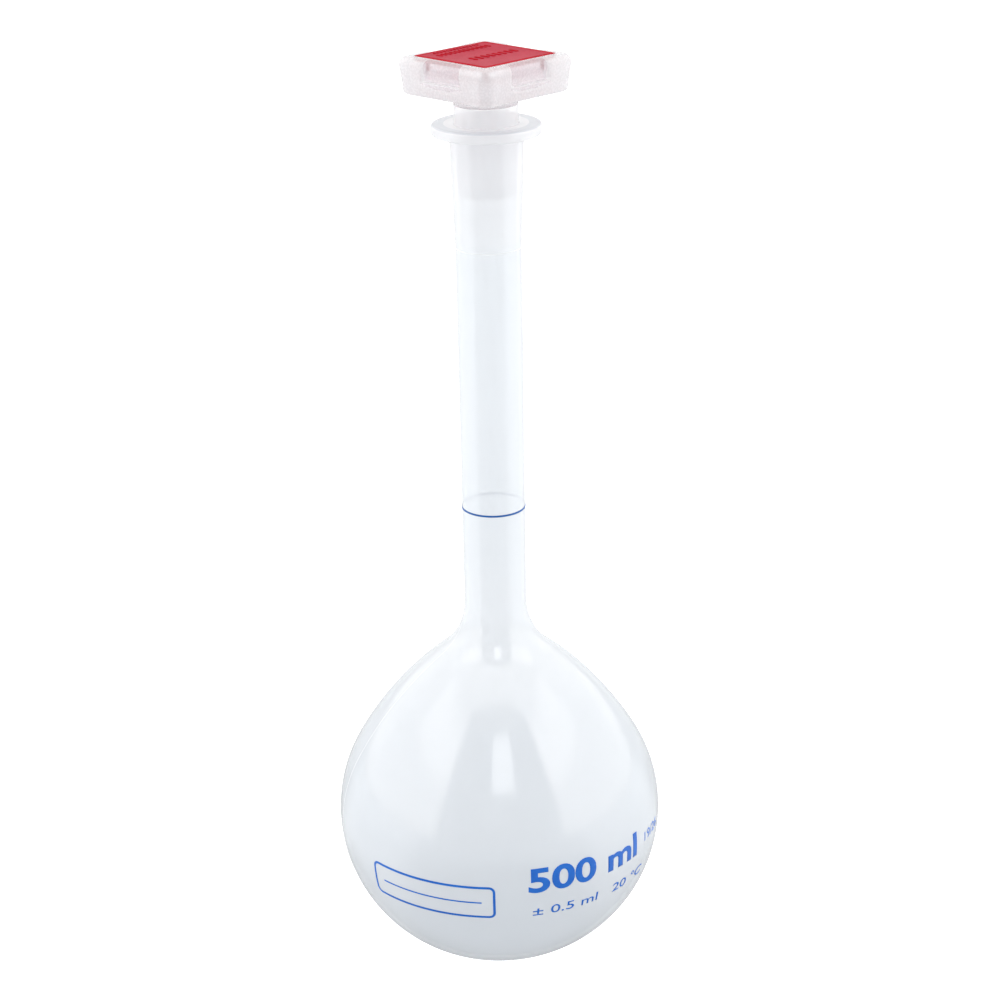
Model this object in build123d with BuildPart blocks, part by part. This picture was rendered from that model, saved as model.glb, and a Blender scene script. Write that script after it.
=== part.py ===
from build123d import *
import os
from math import acos, asin, atan2, cos, degrees, pi, radians, sin, sqrt

# Volumetric flask for 500 ml in translucent polypropylene, with a 19/26 taper stopper.
# Millimetres. The origin is the centre of the foot, on the surface the flask stands on.
# +Z runs up the neck. The print on the bulb faces -Y.

os.makedirs("parts", exist_ok=True)

# ---------------------------------------------------------------- driving dimensions
wall = 1.47  # moulded wall of the bulb and the neck, which leaves 500 ml below the ring mark

# Bulb, as arcs in the half-plane of the axis
bulb_radius = 50.6
equator_height = 40.15
lower_arc_radius = 48.0
upper_arc_radius = 45.8
upper_arc_sweep = radians(29.6)
shoulder_arc_radius = 112.3
throat_arc_radius = 21.5

# Foot
foot_fillet = 3.15
push_up_radius = 24.0
push_up_height = 0.9

# Neck and its socket section
neck_bottom_radius = 9.57
neck_top_radius = 9.76
socket_section_height = 223.2
collar_radius = 10.88
flange_underside = 256.2
flange_thickness = 3.1
flange_radius = 15.95
flange_fillet = 1.2
flange_edge = 0.7
ring_mark_height = 142.4
ring_mark_width = 0.6

# 19/26 taper joint: 18.8 mm across at the top, 26 mm long, 1 in 10 on the diameter
joint_radius = 9.4
joint_length = 26.0
joint_slope = 0.05
socket_lip = 0.5

# Stopper plug
plug_clearance = 0.06
plug_depth = 20.8
plug_wall = 1.5
plug_floor = 1.6
plug_edge = 0.8
seam_height = 264.8
spigot_radius = 7.6
spigot_length = 4.0

# Stopper grip, a square head on a round boss
head_bottom = 268.0
head_top = 278.65
head_side = 37.6
head_taper = 1.1
head_corner = 4.3
side_bow = 0.55
top_rounding = 2.6
bottom_rounding = 0.9
seam_gap = 0.08
spigot_clearance = 0.08
pocket_side = 25.6
pocket_floor = 273.4
pocket_corner = 1.5
dent_width = 15.0
dent_depth = 1.7
dent_floor_height = 272.6

# Red plate in the top of the grip
plate_side = 28.6
plate_top = 278.7
plate_thickness = 1.5
plate_corner = 0.8
plate_edge = 0.25
plate_clearance = 0.08
leg_reach = 16.1  # from the axis to each corner leg
leg_width = 1.8
leg_thickness = 1.1
leg_length = 2.9
rib_height = 0.15
# rows of grip ribs on the plate: count, pitch, width and length of a rib, and the row's middle
rib_rows = (
    (14, 1.3, 0.55, 1.1, 0.0, 11.6),
    (12, 1.75, 0.8, 2.6, 0.0, 8.4),
    (8, 2.3, 1.0, 3.2, 1.0, -2.5),
)

# Ink
ink_thickness = 0.08

# Print on the bulb: azimuth in degrees from -Y towards +X, heights of the base lines
capacity_text = "500 ml"
capacity_start = 9.3
capacity_base = 37.0
capacity_height = 8.1
capacity_stroke = 1.9
tolerance_text = "± 0.5 ml  20 °C"
tolerance_start = 11.0
tolerance_base = 28.0
tolerance_height = 3.3
tolerance_stroke = 0.45
joint_text = "19/26"
joint_start = 62.0
joint_base = 38.9
joint_height = 3.3
joint_stroke = 0.45
panel_start = -50.0
panel_end = -2.0
panel_bottom = 28.0
panel_top = 39.6
panel_corner = 2.0
panel_line = 0.6
panel_rule = 0.4

# ---------------------------------------------------------------- derived geometry
lower_centre = (bulb_radius - lower_arc_radius, equator_height)
upper_centre = (bulb_radius - upper_arc_radius, equator_height)
foot_radius = lower_centre[0] + sqrt(
    (lower_arc_radius - foot_fillet) ** 2 - (equator_height - foot_fillet) ** 2
)
foot_centre = (foot_radius, foot_fillet)
foot_angle = atan2(foot_fillet - equator_height, foot_radius - lower_centre[0])

# The shoulder arc carries on from the upper arc, and the throat arc is tangent to it and to the neck
shoulder_centre = (
    upper_centre[0] + (upper_arc_radius - shoulder_arc_radius) * cos(upper_arc_sweep),
    upper_centre[1] + (upper_arc_radius - shoulder_arc_radius) * sin(upper_arc_sweep),
)
throat_centre_radius = neck_bottom_radius + throat_arc_radius
shoulder_end_angle = acos(
    (throat_centre_radius - shoulder_centre[0]) / (shoulder_arc_radius + throat_arc_radius)
)
neck_bottom_height = shoulder_centre[1] + (shoulder_arc_radius + throat_arc_radius) * sin(shoulder_end_angle)
throat_centre = (throat_centre_radius, neck_bottom_height)

neck_slope = (neck_top_radius - neck_bottom_radius) / (socket_section_height - neck_bottom_height)
flange_top = flange_underside + flange_thickness
joint_bottom = flange_top - joint_length
joint_bottom_radius = joint_radius - joint_slope * joint_length
push_up_arc_radius = (push_up_radius**2 + push_up_height**2) / (2 * push_up_height)
push_up_centre_height = push_up_height - push_up_arc_radius

plug_bottom = flange_top - plug_depth
plug_top_radius = joint_radius - plug_clearance
plug_bottom_radius = plug_top_radius - joint_slope * plug_depth
spigot_top = seam_height + spigot_length
plate_seat = plate_top - plate_thickness


def neck_radius_at(height):
    """Outer radius of the plain neck at a height."""
    return neck_bottom_radius + neck_slope * (height - neck_bottom_height)


def swing(centre, radius, start, end):
    """Arc of the profile from one angle to another, in radians."""
    return CenterArc(centre, radius, degrees(start), degrees(end - start))


def bulb_tilt(height):
    """Angle of the bulb's normal above the level at a height near the equator."""
    arc_radius = lower_arc_radius if height < equator_height else upper_arc_radius
    return asin((height - equator_height) / arc_radius)


def bulb_reach(height):
    """Radius of the bulb at a height near the equator."""
    arc_radius = lower_arc_radius if height < equator_height else upper_arc_radius
    return bulb_radius - arc_radius + arc_radius * cos(bulb_tilt(height))


def bulb_plane(azimuth, height):
    """Plane that touches the bulb: x runs to the right, y up the bulb and z outwards."""
    tilt = bulb_tilt(height)
    reach = bulb_reach(height)
    turn = radians(azimuth)
    across = (cos(turn), sin(turn), 0)
    outward = (sin(turn) * cos(tilt), -cos(turn) * cos(tilt), sin(tilt))
    return Plane(origin=(reach * sin(turn), -reach * cos(turn), height), x_dir=across, z_dir=outward)


# ---------------------------------------------------------------- flask body
inner_foot_height = wall
inner_foot_end = sqrt(
    (push_up_arc_radius + wall) ** 2 - (inner_foot_height - push_up_centre_height) ** 2
)
push_up_angle = asin(push_up_radius / push_up_arc_radius)
inner_push_up_angle = asin(inner_foot_end / (push_up_arc_radius + wall))

with BuildPart() as flask_body:
    with BuildSketch(Plane.XZ):
        with BuildLine():
            # outside, from the axis under the foot to the flange
            swing((0, push_up_centre_height), push_up_arc_radius, pi / 2, pi / 2 - push_up_angle)
            Line((push_up_radius, 0), (foot_radius, 0))
            swing(foot_centre, foot_fillet, -pi / 2, foot_angle)
            swing(lower_centre, lower_arc_radius, foot_angle, 0)
            swing(upper_centre, upper_arc_radius, 0, upper_arc_sweep)
            swing(shoulder_centre, shoulder_arc_radius, upper_arc_sweep, shoulder_end_angle)
            swing(throat_centre, throat_arc_radius, pi + shoulder_end_angle, pi)
            Polyline(
                (neck_bottom_radius, neck_bottom_height),
                (neck_top_radius, socket_section_height),
                (collar_radius, flange_underside),
                (flange_radius, flange_underside),
                (flange_radius, flange_top),
                (joint_radius, flange_top),
                (joint_bottom_radius, joint_bottom),
                (joint_bottom_radius, socket_section_height + wall),
                (neck_top_radius - wall, socket_section_height),
                (neck_bottom_radius - wall, neck_bottom_height),
            )
            # inside, back down to the axis
            swing(throat_centre, throat_arc_radius + wall, pi, pi + shoulder_end_angle)
            swing(shoulder_centre, shoulder_arc_radius - wall, shoulder_end_angle, upper_arc_sweep)
            swing(upper_centre, upper_arc_radius - wall, upper_arc_sweep, 0)
            swing(lower_centre, lower_arc_radius - wall, 0, foot_angle)
            swing(foot_centre, foot_fillet - wall, foot_angle, -pi / 2)
            Line((foot_radius, inner_foot_height), (inner_foot_end, inner_foot_height))
            swing(
                (0, push_up_centre_height),
                push_up_arc_radius + wall,
                pi / 2 - inner_push_up_angle,
                pi / 2,
            )
            Line((0, push_up_height + wall), (0, push_up_height))
        make_face()
    revolve(axis=Axis.Z)
    flange_rims = flask_body.edges().filter_by(GeomType.CIRCLE)
    fillet(flange_rims.filter_by(lambda edge: abs(edge.radius - flange_radius) < 0.01), flange_edge)
    collar_rims = flask_body.edges().filter_by(GeomType.CIRCLE)
    fillet(collar_rims.filter_by(lambda edge: abs(edge.radius - collar_radius) < 0.01), flange_fillet)
    mouth_rims = flask_body.edges().filter_by(GeomType.CIRCLE)
    fillet(mouth_rims.filter_by(lambda edge: abs(edge.radius - joint_radius) < 0.01), socket_lip)
flask_body.part.label = "flask_body"
export_step(flask_body.part, "parts/flask_body.step")

# ---------------------------------------------------------------- stopper plug
plug_core_top = spigot_radius - plug_wall
plug_core_bottom = plug_bottom_radius - plug_wall
core_floor = plug_bottom + plug_floor

with BuildPart() as stopper_plug:
    with BuildSketch(Plane.XZ):
        with BuildLine():
            Polyline(
                (0, plug_bottom),
                (plug_bottom_radius, plug_bottom),
                (plug_top_radius, flange_top),
                (plug_top_radius, seam_height),
                (spigot_radius, seam_height),
                (spigot_radius, spigot_top),
                (plug_core_top, spigot_top),
                (plug_core_bottom, core_floor),
                (0, core_floor),
                close=True,
            )
        make_face()
    revolve(axis=Axis.Z)
    plug_rims = stopper_plug.edges().filter_by(GeomType.CIRCLE).sort_by(Axis.Z)
    fillet(plug_rims[0], plug_edge)
stopper_plug.part.label = "stopper_plug"
export_step(stopper_plug.part, "parts/stopper_plug.step")


# ---------------------------------------------------------------- stopper grip
def spin(x, y, quarter):
    """A point turned about the axis by a number of quarter turns."""
    for _ in range(quarter):
        x, y = -y, x
    return (x, y)


def draw_bowed_square(side):
    """Square whose sides bow in a little, drawn in the current line."""
    half = side / 2
    for quarter in range(4):
        ThreePointArc(
            spin(half, -half, quarter),
            spin(half - side_bow, 0, quarter),
            spin(half, half, quarter),
        )


def head_plane(height):
    """Level plane turned so that a corner of the head points to -Y."""
    return Plane.XY.offset(height).rotated((0, 0, 45))


head_height = head_top - head_bottom
bore_radius = spigot_radius + spigot_clearance
dent_height = head_top - dent_floor_height

with BuildPart() as stopper_grip:
    # tapered head
    with BuildSketch(head_plane(head_bottom)):
        with BuildLine():
            draw_bowed_square(head_side - 2 * head_taper)
        bottom_face = make_face()
        fillet(bottom_face.vertices(), head_corner)
    with BuildSketch(head_plane(head_top)):
        with BuildLine():
            draw_bowed_square(head_side)
        top_face = make_face()
        fillet(top_face.vertices(), head_corner)
    loft()
    head_faces = stopper_grip.faces().sort_by(Axis.Z)
    fillet(head_faces[-1].edges(), top_rounding)
    fillet(stopper_grip.faces().sort_by(Axis.Z)[0].edges(), bottom_rounding)
    # a finger dent in each side, open at the top
    with BuildSketch(head_plane(dent_floor_height)):
        with PolarLocations(head_side / 2 - side_bow, 4):
            Rectangle(2 * dent_depth, dent_width)
    extrude(amount=2 * dent_height, mode=Mode.SUBTRACT)
    # boss under the head
    with BuildSketch(Plane.XY.offset(seam_height + seam_gap)):
        Circle(plug_top_radius)
    extrude(until=Until.NEXT)
    # recess for the plate, pocket for its legs and bore for the plug
    with BuildSketch(head_plane(head_top)):
        RectangleRounded(
            plate_side + 2 * plate_clearance,
            plate_side + 2 * plate_clearance,
            plate_corner + plate_clearance,
        )
    extrude(amount=-(head_top - plate_seat), mode=Mode.SUBTRACT)
    with BuildSketch(head_plane(pocket_floor)):
        RectangleRounded(pocket_side, pocket_side, pocket_corner)
    extrude(amount=plate_seat - pocket_floor, mode=Mode.SUBTRACT)
    with BuildSketch(Plane.XY.offset(seam_height)):
        Circle(bore_radius)
    extrude(amount=spigot_top + seam_gap - seam_height, mode=Mode.SUBTRACT)
    with BuildSketch(Plane.XY.offset(spigot_top)):
        Circle(plug_core_top)
    extrude(amount=pocket_floor - spigot_top, mode=Mode.SUBTRACT)
stopper_grip.part.label = "stopper_grip"
export_step(stopper_grip.part, "parts/stopper_grip.step")

# ---------------------------------------------------------------- stopper plate
with BuildPart() as stopper_plate:
    with BuildSketch(head_plane(plate_seat)):
        RectangleRounded(plate_side, plate_side, plate_corner)
    extrude(amount=plate_thickness)
    fillet(stopper_plate.faces().sort_by(Axis.Z)[-1].edges(), plate_edge)
    # a snap leg under each corner
    with BuildSketch(Plane.XY.offset(plate_seat)):
        with PolarLocations(leg_reach, 4):
            Rectangle(leg_thickness, leg_width)
    extrude(amount=-leg_length)
    # rows of low grip ribs on the top
    for rib_count, rib_pitch, rib_width, rib_length, row_x, row_y in rib_rows:
        with BuildSketch(head_plane(plate_top)):
            with Locations((row_x, row_y)):
                with GridLocations(rib_pitch, 0, rib_count, 1):
                    RectangleRounded(rib_width, rib_length, rib_width / 2.5)
        extrude(amount=rib_height)
stopper_plate.part.label = "stopper_plate"
export_step(stopper_plate.part, "parts/stopper_plate.step")

# ---------------------------------------------------------------- ring mark
mark_low = ring_mark_height - ring_mark_width / 2
mark_high = ring_mark_height + ring_mark_width / 2

with BuildPart() as ring_mark:
    with BuildSketch(Plane.XZ):
        with BuildLine():
            Polyline(
                (neck_radius_at(mark_low), mark_low),
                (neck_radius_at(mark_low) + ink_thickness, mark_low),
                (neck_radius_at(mark_high) + ink_thickness, mark_high),
                (neck_radius_at(mark_high), mark_high),
                close=True,
            )
        make_face()
    revolve(axis=Axis.Z)
ring_mark.part.label = "ring_mark"
export_step(ring_mark.part, "parts/ring_mark.step")


# ---------------------------------------------------------------- print on the bulb
# Centre lines of the characters, in halves of a capital's height, from the bottom left
strokes = {
    "0": [[(0, 0), (1, 0), (1, 2), (0, 2), (0, 0)]],
    "1": [[(0, 1.5), (0.5, 2), (0.5, 0)]],
    "2": [[(0, 2), (1, 2), (1, 1), (0, 1), (0, 0), (1, 0)]],
    "5": [[(1, 2), (0, 2), (0, 1), (1, 1), (1, 0), (0, 0)]],
    "6": [[(1, 2), (0, 2), (0, 0), (1, 0), (1, 1), (0, 1)]],
    "9": [[(0, 0), (1, 0), (1, 2), (0, 2), (0, 1), (1, 1)]],
    "m": [[(0, 0), (0, 1.3), (1.7, 1.3), (1.7, 0)], [(0.85, 1.3), (0.85, 0)]],
    "l": [[(0, 0), (0, 2.2)]],
    "C": [[(1, 2), (0, 2), (0, 0), (1, 0)]],
    "°": [[(0, 1.5), (0.5, 1.5), (0.5, 2), (0, 2), (0, 1.5)]],
    "±": [[(0, 0.2), (1, 0.2)], [(0, 1.1), (1, 1.1)], [(0.5, 0.6), (0.5, 1.6)]],
    ".": [[(0, 0), (0.1, 0)]],
    "/": [[(0, 0), (0.9, 2)]],
}
letter_gap = 0.22  # gaps over the letter height
word_gap = 0.3


def glyph_width(character, unit):
    """Width between a character's outermost centre lines."""
    return unit * max(x for stroke in strokes[character] for x, y in stroke)


def draw_glyph(character, unit, line_width):
    """A character's strokes, as round-ended bars in the current sketch."""
    left = -glyph_width(character, unit) / 2
    for stroke in strokes[character]:
        for (x0, y0), (x1, y1) in zip(stroke, stroke[1:]):
            start = Vector(left + unit * x0, unit * (y0 - 1))
            end = Vector(left + unit * x1, unit * (y1 - 1))
            run = end - start
            with Locations((start + end) / 2):
                SlotCenterToCenter(run.length, line_width, rotation=degrees(atan2(run.Y, run.X)))


def make_print(name, text, start, base, height, line_width):
    """A line of thin flat characters along a level line of the bulb, each touching it at its middle."""
    unit = (height - line_width) / 2
    middle = base + height / 2
    degrees_per_mm = degrees(1 / bulb_reach(middle))
    azimuth = start
    with BuildPart() as line:
        for character in text:
            if character == " ":
                azimuth += word_gap * height * degrees_per_mm
                continue
            width = glyph_width(character, unit) + line_width
            with BuildSketch(bulb_plane(azimuth + width / 2 * degrees_per_mm, middle)):
                draw_glyph(character, unit, line_width)
            extrude(amount=ink_thickness)
            azimuth += (width + letter_gap * height) * degrees_per_mm
    line.part.label = name
    export_step(line.part, f"parts/{name}.step")


make_print("capacity_print", capacity_text, capacity_start, capacity_base, capacity_height, capacity_stroke)
make_print(
    "tolerance_print", tolerance_text, tolerance_start, tolerance_base, tolerance_height, tolerance_stroke
)
make_print("joint_print", joint_text, joint_start, joint_base, joint_height, joint_stroke)


# ---------------------------------------------------------------- write-on panel
panel_middle = (panel_bottom + panel_top) / 2
panel_height = panel_top - panel_bottom
panel_width = radians(panel_end - panel_start) * bulb_reach(panel_middle)
panel_depth = 8.0
print_low = bulb_tilt(20.0)
print_high = radians(16.0)


def on_arc(centre, radius, angle):
    """Point of an arc of the profile."""
    return (centre[0] + radius * cos(angle), centre[1] + radius * sin(angle))


def draw_bulb_skin():
    """Outline of a skin of ink on the bulb, on both sides of the equator."""
    lower_skin = lower_arc_radius + ink_thickness
    upper_skin = upper_arc_radius + ink_thickness
    swing(lower_centre, lower_arc_radius, print_low, 0)
    swing(upper_centre, upper_arc_radius, 0, print_high)
    Line(on_arc(upper_centre, upper_arc_radius, print_high), on_arc(upper_centre, upper_skin, print_high))
    swing(upper_centre, upper_skin, print_high, 0)
    swing(lower_centre, lower_skin, 0, print_low)
    Line(on_arc(lower_centre, lower_skin, print_low), on_arc(lower_centre, lower_arc_radius, print_low))


with BuildPart() as write_on_panel:
    with BuildSketch(bulb_plane((panel_start + panel_end) / 2, panel_middle)):
        RectangleRounded(panel_width, panel_height, panel_corner)
        RectangleRounded(
            panel_width - 2 * panel_line,
            panel_height - 2 * panel_line,
            panel_corner - panel_line,
            mode=Mode.SUBTRACT,
        )
        Rectangle(0.8 * panel_width, panel_rule)
    extrude(amount=panel_depth, both=True)
    with BuildSketch(Plane.XZ):
        with BuildLine():
            draw_bulb_skin()
        make_face()
    revolve(axis=Axis.Z, mode=Mode.INTERSECT)
write_on_panel.part.label = "write_on_panel"
export_step(write_on_panel.part, "parts/write_on_panel.step")
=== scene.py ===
from math import acos, asin, atan2, ceil, cos, hypot, pi, radians, sin, sqrt

import bmesh
import bpy
from mathutils import Matrix, Vector


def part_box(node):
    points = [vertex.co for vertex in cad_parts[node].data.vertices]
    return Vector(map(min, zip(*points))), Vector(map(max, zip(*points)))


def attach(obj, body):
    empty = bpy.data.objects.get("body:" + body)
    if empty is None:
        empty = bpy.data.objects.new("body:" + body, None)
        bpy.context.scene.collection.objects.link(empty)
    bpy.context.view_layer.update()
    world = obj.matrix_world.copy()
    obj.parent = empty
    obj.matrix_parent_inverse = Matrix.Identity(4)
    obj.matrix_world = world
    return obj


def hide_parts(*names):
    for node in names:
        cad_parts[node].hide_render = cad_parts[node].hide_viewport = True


# Volumetric flask in translucent plastic with a square-headed stopper. Metres, in the row frame:
# the origin is the centre of the foot, +Z runs up the neck and the print faces -Y.

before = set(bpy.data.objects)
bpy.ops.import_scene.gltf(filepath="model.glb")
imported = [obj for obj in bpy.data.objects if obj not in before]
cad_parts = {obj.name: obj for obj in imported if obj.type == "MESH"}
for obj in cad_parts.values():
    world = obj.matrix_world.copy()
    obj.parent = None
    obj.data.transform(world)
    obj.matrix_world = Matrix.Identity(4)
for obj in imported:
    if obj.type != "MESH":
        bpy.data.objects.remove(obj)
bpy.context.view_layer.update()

MM = 0.001
flask_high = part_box("flask_body")[1]
plug_low, plug_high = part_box("stopper_plug")
grip_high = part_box("stopper_grip")[1]
plate_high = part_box("stopper_plate")[1]
ring_low, ring_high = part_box("ring_mark")

# ---------------------------------------------------------------- sizes of the flask
WALL = 1.47 * MM
BULB_RADIUS = flask_high.x
EQUATOR = 40.15 * MM
LOWER_ARC = 48.0 * MM
UPPER_ARC = 45.8 * MM
UPPER_SWEEP = radians(29.6)
SHOULDER_ARC = 112.3 * MM
THROAT_ARC = 21.5 * MM
FOOT_FILLET = 3.15 * MM
PUSH_UP_RADIUS = 24.0 * MM
PUSH_UP_HEIGHT = 0.9 * MM
NECK_BOTTOM_RADIUS = 9.57 * MM
NECK_TOP_RADIUS = 9.76 * MM
SOCKET_SECTION = 223.2 * MM
COLLAR_RADIUS = 10.88 * MM
FLANGE_TOP = flask_high.z
FLANGE_UNDERSIDE = FLANGE_TOP - 3.1 * MM
FLANGE_RADIUS = 15.95 * MM
FLANGE_CLEAR_RADIUS = 12.3 * MM
JOINT_RADIUS = 9.4 * MM
JOINT_SLOPE = 0.05
JOINT_BOTTOM = FLANGE_TOP - 26.0 * MM

# ---------------------------------------------------------------- sizes of the stopper
SEAM = plug_high.z - 4.0 * MM
SPIGOT_TOP = plug_high.z
SPIGOT_RADIUS = 7.6 * MM
SPIGOT_INNER = 6.1 * MM
BOSS_RADIUS = plug_high.x
HEAD_BOTTOM = 268.0 * MM
HEAD_TOP = grip_high.z
HEAD_HALF = 18.8 * MM
HEAD_TAPER = 1.1 * MM
HEAD_CORNER = 4.3 * MM
SIDE_BOW = 0.55 * MM
TOP_ROUNDING = 2.6 * MM
BOTTOM_ROUNDING = 0.9 * MM
HEAD_ROWS = 30
SIDE_STEPS = 20
CORNER_STEPS = 8
DENT_HALF = 7.4 * MM
DENT_DEPTH = 1.5 * MM
DENT_FLOOR = 272.7 * MM
DENT_LIMIT = 14.9 * MM
HOLLOW_HEIGHT = 1.2 * MM
HOLLOW_DEPTH = 0.3 * MM
HOLLOW_TOP = DENT_FLOOR - 0.5 * MM
POCKET_HALF = 12.8 * MM
POCKET_FLOOR = 273.4 * MM
GRIP_INNER_ROWS = 8
RIB_TOP = plate_high.z
PLATE_TOP = RIB_TOP - 0.15 * MM
PLATE_SEAT = PLATE_TOP - 1.5 * MM
PLATE_HALF = 14.3 * MM
BORDER = 1.4 * MM
LEG_REACH = 16.1 * MM
LEG_THICKNESS = 1.1 * MM
LEG_WIDTH = 1.8 * MM
LEG_LENGTH = 2.9 * MM
# rows of ribs: count, pitch, width and length of a rib, and the row's middle
RIB_ROWS = [
    [14, 1.3 * MM, 0.55 * MM, 1.1 * MM, 0.0, 11.6 * MM],
    [12, 1.75 * MM, 0.8 * MM, 2.6 * MM, 0.0, 8.4 * MM],
    [8, 2.3 * MM, 1.0 * MM, 3.2 * MM, 1.0 * MM, -2.5 * MM],
]

# ---------------------------------------------------------------- mould seams, print and mesh fineness
SEAM_HEIGHT = 0.045 * MM
SEAM_TURN = radians(13.0)
MOULD_SEAMS = (SEAM_TURN + pi / 2, SEAM_TURN + 3 * pi / 2)
RING_THICKNESS = 0.12 * MM
INK_THICKNESS = 0.03 * MM
INK_BACK = 0.004 * MM
PRINT_STEP = 0.9 * MM
# height of the font's capitals as a share of its size
CAPITAL_SHARE = 0.729
CAPACITY_CAPITALS = 8.1 * MM
SMALL_CAPITALS = 3.3 * MM
LOWER_LINE = 28.0 * MM
PANEL_START = radians(-50.0)
PANEL_SPAN = radians(48.0)
PANEL_HEIGHT = 11.6 * MM
TURNS = 160
PLUG_TURNS = 128

# ---------------------------------------------------------------- light
ROOM_LIGHT = 0.74
SIDE_LIGHT = 0.6
HIGH_SIDE_LIGHT = 0.36
BACK_LIGHT = 0.2
FRONT_LIGHT = 1.9
TOP_LIGHT = 0.48
# how much brighter the softboxes are in mirrored rays
MIRRORED = 2.0
# where each softbox starts, is full, fades and is gone, in degrees
LOW_BOX_AZIMUTH = (41, 50, 142, 158)
LOW_BOX_ELEVATION = (-4, 4, 44, 60)
HIGH_BOX_AZIMUTH = (41, 50, 92, 104)
HIGH_BOX_ELEVATION = (28, 33, 54, 62)
FRONT_BOX_ELEVATION = (33, 37, 52, 56)
# the middle of the front softbox and its half width, without and with its soft edge, in degrees
FRONT_BOX_MIDDLE = 4
FRONT_BOX_HALF = 9
FRONT_BOX_REACH = 12
# the floor's glow, painted light for all rays but the camera's: near the flask (dimmer, a painted shadow),
# far from it, how much more beside it, and its gain in mirrored rays
FLOOR_NEAR = 0.63
FLOOR_FAR = 1.0
FLOOR_BESIDE = 0.5
FLOOR_MIRRORED = 1.0
FLOOR_MIRRORED_FRONT = 0.8
FLOOR_HALF = 3.0
FLOOR_DROP = 0.2 * MM

# ---------------------------------------------------------------- camera
# focal length in millimetres, place, and turns in radians
LENS = 82.97
CAMERA_PLACE = (0.0, -0.6486, 0.3994)
CAMERA_PAN = -0.0030
CAMERA_DOWN = 0.3752
CAMERA_ROLL = -0.0185


# ---------------------------------------------------------------- profiles
def arc(centre, radius, start, end, steps):
    """Points of a circular arc in the half-plane of the axis, both ends included."""
    points = []
    for i in range(steps + 1):
        angle = start + (end - start) * i / steps
        points.append((centre[0] + radius * cos(angle), centre[1] + radius * sin(angle)))
    return points


def line(a, b, steps):
    """Points along a straight line, both ends included."""
    return [(a[0] + (b[0] - a[0]) * i / steps, a[1] + (b[1] - a[1]) * i / steps) for i in range(steps + 1)]


def rounded(points, radii, steps=5):
    """A polyline with its inner corners rounded by the radii given for them."""
    path = [points[0]]
    for i in range(1, len(points) - 1):
        before, corner, after = Vector(points[i - 1]), Vector(points[i]), Vector(points[i + 1])
        to_before = (before - corner).normalized()
        to_after = (after - corner).normalized()
        half = to_before.angle(to_after) / 2
        radius = radii[i - 1]
        if radius <= 0 or half > pi / 2 - 0.01:
            path.append(tuple(corner))
            continue
        reach = radius / (sin(half) / cos(half))
        centre = corner + (to_before + to_after).normalized() * radius / sin(half)
        start = corner + to_before * reach - centre
        turn = start.angle_signed(corner + to_after * reach - centre)
        for k in range(steps + 1):
            angle = -turn * k / steps
            along = start.x * cos(angle) - start.y * sin(angle)
            across = start.x * sin(angle) + start.y * cos(angle)
            path.append(tuple(centre + Vector((along, across))))
    path.append(points[-1])
    return path


def without_repeats(points):
    """The points with any that lie on the one before them left out."""
    kept = [points[0]]
    for p in points[1:]:
        if hypot(p[0] - kept[-1][0], p[1] - kept[-1][1]) > 1e-6:
            kept.append(p)
    return kept


LOWER_CENTRE = (BULB_RADIUS - LOWER_ARC, EQUATOR)
UPPER_CENTRE = (BULB_RADIUS - UPPER_ARC, EQUATOR)
FOOT_RADIUS = LOWER_CENTRE[0] + sqrt((LOWER_ARC - FOOT_FILLET) ** 2 - (EQUATOR - FOOT_FILLET) ** 2)
FOOT_ANGLE = atan2(FOOT_FILLET - EQUATOR, FOOT_RADIUS - LOWER_CENTRE[0])
SHOULDER_CENTRE = (
    UPPER_CENTRE[0] + (UPPER_ARC - SHOULDER_ARC) * cos(UPPER_SWEEP),
    UPPER_CENTRE[1] + (UPPER_ARC - SHOULDER_ARC) * sin(UPPER_SWEEP),
)
THROAT_RADIUS = NECK_BOTTOM_RADIUS + THROAT_ARC
SHOULDER_END = acos((THROAT_RADIUS - SHOULDER_CENTRE[0]) / (SHOULDER_ARC + THROAT_ARC))
NECK_BOTTOM = SHOULDER_CENTRE[1] + (SHOULDER_ARC + THROAT_ARC) * sin(SHOULDER_END)
THROAT_CENTRE = (THROAT_RADIUS, NECK_BOTTOM)
PUSH_UP_ARC = (PUSH_UP_RADIUS**2 + PUSH_UP_HEIGHT**2) / (2 * PUSH_UP_HEIGHT)
PUSH_UP_CENTRE = (0.0, PUSH_UP_HEIGHT - PUSH_UP_ARC)


def bulb_profile(depth):
    """The bulb and throat from the foot to the neck's lower end, depth inside the outer surface."""
    points = arc((FOOT_RADIUS, FOOT_FILLET), FOOT_FILLET - depth, -pi / 2, FOOT_ANGLE, 8)
    points += arc(LOWER_CENTRE, LOWER_ARC - depth, FOOT_ANGLE, 0, 40)
    points += arc(UPPER_CENTRE, UPPER_ARC - depth, 0, UPPER_SWEEP, 20)
    points += arc(SHOULDER_CENTRE, SHOULDER_ARC - depth, UPPER_SWEEP, SHOULDER_END, 40)
    points += arc(THROAT_CENTRE, THROAT_ARC + depth, pi + SHOULDER_END, pi, 16)
    return points


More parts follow.
